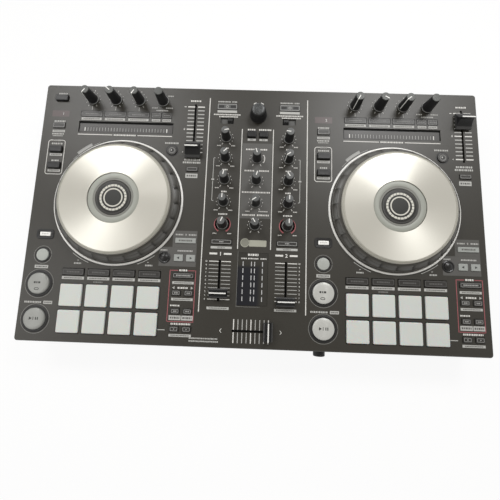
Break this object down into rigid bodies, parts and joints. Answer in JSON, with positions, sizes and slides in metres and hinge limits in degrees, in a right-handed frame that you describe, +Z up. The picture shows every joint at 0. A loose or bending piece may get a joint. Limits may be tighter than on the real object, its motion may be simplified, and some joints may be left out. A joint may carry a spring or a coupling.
{
  "type": "dj controller",
  "caption": "DJ controller with a jog wheel, pads and keys on each side of a mixer; wheels and knobs turn, faders slide, buttons press.",
  "frame": {"origin": "centre of the overall box at the height of the feet's undersides", "axes": "+Z up out of the deck, +Y to the rear sockets, +X to the right-hand deck"},
  "size_m": [0.553, 0.3404, 0.068],
  "materials": {
    "case_plastic": "moulded black plastic with a fine matt grain",
    "deck_plate": "dark warm grey, fine brushed and satin",
    "circuit_board": "green lacquered board with black part bodies",
    "foot_rubber": "matt black rubber",
    "dark_lens": "clear gloss over black print",
    "wheel_plastic": "dark satin plastic with pressed finger dimples",
    "platter_metal": "bright spun metal with rings round its middle",
    "button_metal": "satin silver cap",
    "pad_silicone": "translucent pale silicone, matt",
    "key_plastic": "smoked plastic key caps, half gloss",
    "fader_plastic": "black plastic cap with a white line",
    "knob_plastic": "soft black sides with a grey top and a white pointer"
  },
  "bodies": {
    "chassis": {"bottom_case": "case_plastic", "top_panel": "deck_plate", "control_board": "circuit_board", "rear_socket_board": "circuit_board", "headphone_board": "circuit_board", "level_meter_window": "dark_lens", "foot_front_left": "foot_rubber", "foot_front_right": "foot_rubber", "foot_rear_left": "foot_rubber", "foot_rear_right": "foot_rubber", "jog_display_left": "dark_lens", "jog_display_right": "dark_lens"},
    "jog_wheel_left": {"jog_wheel_left": "wheel_plastic", "jog_platter_left": "platter_metal"},
    "fx_1_knob_left": {"fx_1_knob_left": "knob_plastic"},
    "fx_2_knob_left": {"fx_2_knob_left": "knob_plastic"},
    "fx_3_knob_left": {"fx_3_knob_left": "knob_plastic"},
    "beats_knob_left": {"beats_knob_left": "knob_plastic"},
    "trim_knob_left": {"trim_knob_left": "knob_plastic"},
    "high_knob_left": {"high_knob_left": "knob_plastic"},
    "mid_knob_left": {"mid_knob_left": "knob_plastic"},
    "low_knob_left": {"low_knob_left": "knob_plastic"},
    "filter_knob_left": {"filter_knob_left": "knob_plastic"},
    "fx_keys_left": {"fx_keys_left": "key_plastic"},
    "side_keys_left": {"side_keys_left": "key_plastic"},
    "inner_keys_left": {"inner_keys_left": "key_plastic"},
    "pad_mat_left": {"pad_mat_left": "pad_silicone"},
    "cue_button_left": {"cue_button_left": "button_metal"},
    "play_button_left": {"play_button_left": "button_metal"},
    "tempo_cap_left": {"tempo_cap_left": "fader_plastic"},
    "channel_cap_left": {"channel_cap_left": "fader_plastic"},
    "input_switch_left": {"input_switch_left": "fader_plastic"},
    "jog_wheel_right": {"jog_wheel_right": "wheel_plastic", "jog_platter_right": "platter_metal"},
    "fx_1_knob_right": {"fx_1_knob_right": "knob_plastic"},
    "fx_2_knob_right": {"fx_2_knob_right": "knob_plastic"},
    "fx_3_knob_right": {"fx_3_knob_right": "knob_plastic"},
    "beats_knob_right": {"beats_knob_right": "knob_plastic"},
    "trim_knob_right": {"trim_knob_right": "knob_plastic"},
    "high_knob_right": {"high_knob_right": "knob_plastic"},
    "mid_knob_right": {"mid_knob_right": "knob_plastic"},
    "low_knob_right": {"low_knob_right": "knob_plastic"},
    "filter_knob_right": {"filter_knob_right": "knob_plastic"},
    "fx_keys_right": {"fx_keys_right": "key_plastic"},
    "side_keys_right": {"side_keys_right": "key_plastic"},
    "inner_keys_right": {"inner_keys_right": "key_plastic"},
    "pad_mat_right": {"pad_mat_right": "pad_silicone"},
    "cue_button_right": {"cue_button_right": "button_metal"},
    "play_button_right": {"play_button_right": "button_metal"},
    "tempo_cap_right": {"tempo_cap_right": "fader_plastic"},
    "channel_cap_right": {"channel_cap_right": "fader_plastic"},
    "input_switch_right": {"input_switch_right": "fader_plastic"},
    "master_knob": {"master_knob": "knob_plastic"},
    "booth_knob": {"booth_knob": "knob_plastic"},
    "monitor_mix_knob": {"monitor_mix_knob": "knob_plastic"},
    "sampler_knob": {"sampler_knob": "knob_plastic"},
    "browse_knob": {"browse_knob": "knob_plastic"},
    "mixer_keys": {"mixer_keys": "key_plastic"},
    "crossfader_cap": {"crossfader_cap": "fader_plastic"},
    "front_level_knob": {"front_level_knob": "knob_plastic"}
  },
  "joints": [
    {"name": "jog_wheel_left_spin", "type": "hinge", "parent": "chassis", "child": "jog_wheel_left", "pos_m": [-0.1687, 0.008, 0.046], "axis": [0, 0, 1], "continuous": true},
    {"name": "fx_1_knob_left_turn", "type": "hinge", "parent": "chassis", "child": "fx_1_knob_left", "pos_m": [-0.2145, 0.1426, 0.046], "axis": [0, 0, 1], "range_deg": [-293, 7]},
    {"name": "fx_2_knob_left_turn", "type": "hinge", "parent": "chassis", "child": "fx_2_knob_left", "pos_m": [-0.1841, 0.1426, 0.046], "axis": [0, 0, 1], "range_deg": [-201, 99]},
    {"name": "fx_3_knob_left_turn", "type": "hinge", "parent": "chassis", "child": "fx_3_knob_left", "pos_m": [-0.1537, 0.1426, 0.046], "axis": [0, 0, 1], "range_deg": [-298, 2]},
    {"name": "beats_knob_left_turn", "type": "hinge", "parent": "chassis", "child": "beats_knob_left", "pos_m": [-0.1233, 0.1426, 0.046], "axis": [0, 0, 1], "continuous": true},
    {"name": "trim_knob_left_turn", "type": "hinge", "parent": "chassis", "child": "trim_knob_left", "pos_m": [-0.0395, 0.0953, 0.046], "axis": [0, 0, 1], "range_deg": [-71, 229]},
    {"name": "high_knob_left_turn", "type": "hinge", "parent": "chassis", "child": "high_knob_left", "pos_m": [-0.0395, 0.0683, 0.046], "axis": [0, 0, 1], "range_deg": [-103, 197]},
    {"name": "mid_knob_left_turn", "type": "hinge", "parent": "chassis", "child": "mid_knob_left", "pos_m": [-0.0395, 0.04, 0.046], "axis": [0, 0, 1], "range_deg": [-139, 161]},
    {"name": "low_knob_left_turn", "type": "hinge", "parent": "chassis", "child": "low_knob_left", "pos_m": [-0.0395, 0.0117, 0.046], "axis": [0, 0, 1], "range_deg": [-147, 153]},
    {"name": "filter_knob_left_turn", "type": "hinge", "parent": "chassis", "child": "filter_knob_left", "pos_m": [-0.0395, -0.0166, 0.046], "axis": [0, 0, 1], "range_deg": [-126, 174]},
    {"name": "fx_keys_left_press", "type": "slide", "parent": "chassis", "child": "fx_keys_left", "axis": [0, 0, -1], "range_m": [0, 0.0008], "stiffness_N_per_m": 1500, "springref_m": -0.001},
    {"name": "side_keys_left_press", "type": "slide", "parent": "chassis", "child": "side_keys_left", "axis": [0, 0, -1], "range_m": [0, 0.0008], "stiffness_N_per_m": 1500, "springref_m": -0.001},
    {"name": "inner_keys_left_press", "type": "slide", "parent": "chassis", "child": "inner_keys_left", "axis": [0, 0, -1], "range_m": [0, 0.0008], "stiffness_N_per_m": 1500, "springref_m": -0.001},
    {"name": "pad_mat_left_press", "type": "slide", "parent": "chassis", "child": "pad_mat_left", "axis": [0, 0, -1], "range_m": [0, 0.001], "stiffness_N_per_m": 3000, "springref_m": -0.001},
    {"name": "cue_button_left_press", "type": "slide", "parent": "chassis", "child": "cue_button_left", "axis": [0, 0, -1], "range_m": [0, 0.0012], "stiffness_N_per_m": 600, "springref_m": -0.001},
    {"name": "play_button_left_press", "type": "slide", "parent": "chassis", "child": "play_button_left", "axis": [0, 0, -1], "range_m": [0, 0.0012], "stiffness_N_per_m": 600, "springref_m": -0.001},
    {"name": "tempo_cap_left_slide", "type": "slide", "parent": "chassis", "child": "tempo_cap_left", "axis": [0, 1, 0], "range_m": [-0.0015, 0.0585]},
    {"name": "channel_cap_left_slide", "type": "slide", "parent": "chassis", "child": "channel_cap_left", "axis": [0, 1, 0], "range_m": [-0.0075, 0.0375]},
    {"name": "input_switch_left_slide", "type": "slide", "parent": "chassis", "child": "input_switch_left", "axis": [1, 0, 0], "range_m": [-0.008, 0]},
    {"name": "jog_wheel_right_spin", "type": "hinge", "parent": "chassis", "child": "jog_wheel_right", "pos_m": [0.1687, 0.008, 0.046], "axis": [0, 0, 1], "continuous": true},
    {"name": "fx_1_knob_right_turn", "type": "hinge", "parent": "chassis", "child": "fx_1_knob_right", "pos_m": [0.1229, 0.1426, 0.046], "axis": [0, 0, 1], "range_deg": [-300, 0]},
    {"name": "fx_2_knob_right_turn", "type": "hinge", "parent": "chassis", "child": "fx_2_knob_right", "pos_m": [0.1533, 0.1426, 0.046], "axis": [0, 0, 1], "range_deg": [-30, 270]},
    {"name": "fx_3_knob_right_turn", "type": "hinge", "parent": "chassis", "child": "fx_3_knob_right", "pos_m": [0.1837, 0.1426, 0.046], "axis": [0, 0, 1], "range_deg": [-278, 22]},
    {"name": "beats_knob_right_turn", "type": "hinge", "parent": "chassis", "child": "beats_knob_right", "pos_m": [0.2141, 0.1426, 0.046], "axis": [0, 0, 1], "continuous": true},
    {"name": "trim_knob_right_turn", "type": "hinge", "parent": "chassis", "child": "trim_knob_right", "pos_m": [0.0395, 0.0953, 0.046], "axis": [0, 0, 1], "range_deg": [-232, 68]},
    {"name": "high_knob_right_turn", "type": "hinge", "parent": "chassis", "child": "high_knob_right", "pos_m": [0.0395, 0.0683, 0.046], "axis": [0, 0, 1], "range_deg": [-274, 26]},
    {"name": "mid_knob_right_turn", "type": "hinge", "parent": "chassis", "child": "mid_knob_right", "pos_m": [0.0395, 0.04, 0.046], "axis": [0, 0, 1], "range_deg": [-185, 115]},
    {"name": "low_knob_right_turn", "type": "hinge", "parent": "chassis", "child": "low_knob_right", "pos_m": [0.0395, 0.0117, 0.046], "axis": [0, 0, 1], "range_deg": [-148, 152]},
    {"name": "filter_knob_right_turn", "type": "hinge", "parent": "chassis", "child": "filter_knob_right", "pos_m": [0.0395, -0.0166, 0.046], "axis": [0, 0, 1], "range_deg": [-150, 150]},
    {"name": "fx_keys_right_press", "type": "slide", "parent": "chassis", "child": "fx_keys_right", "axis": [0, 0, -1], "range_m": [0, 0.0008], "stiffness_N_per_m": 1500, "springref_m": -0.001},
    {"name": "side_keys_right_press", "type": "slide", "parent": "chassis", "child": "side_keys_right", "axis": [0, 0, -1], "range_m": [0, 0.0008], "stiffness_N_per_m": 1500, "springref_m": -0.001},
    {"name": "inner_keys_right_press", "type": "slide", "parent": "chassis", "child": "inner_keys_right", "axis": [0, 0, -1], "range_m": [0, 0.0008], "stiffness_N_per_m": 1500, "springref_m": -0.001},
    {"name": "pad_mat_right_press", "type": "slide", "parent": "chassis", "child": "pad_mat_right", "axis": [0, 0, -1], "range_m": [0, 0.001], "stiffness_N_per_m": 3000, "springref_m": -0.001},
    {"name": "cue_button_right_press", "type": "slide", "parent": "chassis", "child": "cue_button_right", "axis": [0, 0, -1], "range_m": [0, 0.0012], "stiffness_N_per_m": 600, "springref_m": -0.001},
    {"name": "play_button_right_press", "type": "slide", "parent": "chassis", "child": "play_button_right", "axis": [0, 0, -1], "range_m": [0, 0.0012], "stiffness_N_per_m": 600, "springref_m": -0.001},
    {"name": "tempo_cap_right_slide", "type": "slide", "parent": "chassis", "child": "tempo_cap_right", "axis": [0, 1, 0], "range_m": [-0.0483, 0.0117]},
    {"name": "channel_cap_right_slide", "type": "slide", "parent": "chassis", "child": "channel_cap_right", "axis": [0, 1, 0], "range_m": [0, 0.045]},
    {"name": "input_switch_right_slide", "type": "slide", "parent": "chassis", "child": "input_switch_right", "axis": [1, 0, 0], "range_m": [0, 0.008]},
    {"name": "master_knob_turn", "type": "hinge", "parent": "chassis", "child": "master_knob", "pos_m": [0, 0.0683, 0.046], "axis": [0, 0, 1], "range_deg": [-168, 132]},
    {"name": "booth_knob_turn", "type": "hinge", "parent": "chassis", "child": "booth_knob", "pos_m": [0, 0.04, 0.046], "axis": [0, 0, 1], "range_deg": [-133, 167]},
    {"name": "monitor_mix_knob_turn", "type": "hinge", "parent": "chassis", "child": "monitor_mix_knob", "pos_m": [0, 0.0117, 0.046], "axis": [0, 0, 1], "range_deg": [-272, 28]},
    {"name": "sampler_knob_turn", "type": "hinge", "parent": "chassis", "child": "sampler_knob", "pos_m": [0, -0.0166, 0.046], "axis": [0, 0, 1], "range_deg": [-183, 117]},
    {"name": "browse_knob_turn", "type": "hinge", "parent": "chassis", "child": "browse_knob", "pos_m": [0, 0.1264, 0.046], "axis": [0, 0, 1], "continuous": true},
    {"name": "mixer_keys_press", "type": "slide", "parent": "chassis", "child": "mixer_keys", "axis": [0, 0, -1], "range_m": [0, 0.0008], "stiffness_N_per_m": 1500, "springref_m": -0.001},
    {"name": "crossfader_cap_slide", "type": "slide", "parent": "chassis", "child": "crossfader_cap", "axis": [1, 0, 0], "range_m": [-0.04, 0]},
    {"name": "front_level_knob_turn", "type": "hinge", "parent": "chassis", "child": "front_level_knob", "pos_m": [0.082, -0.16225, 0.027], "axis": [0, 1, 0], "range_deg": [-150, 150]}
  ]
}
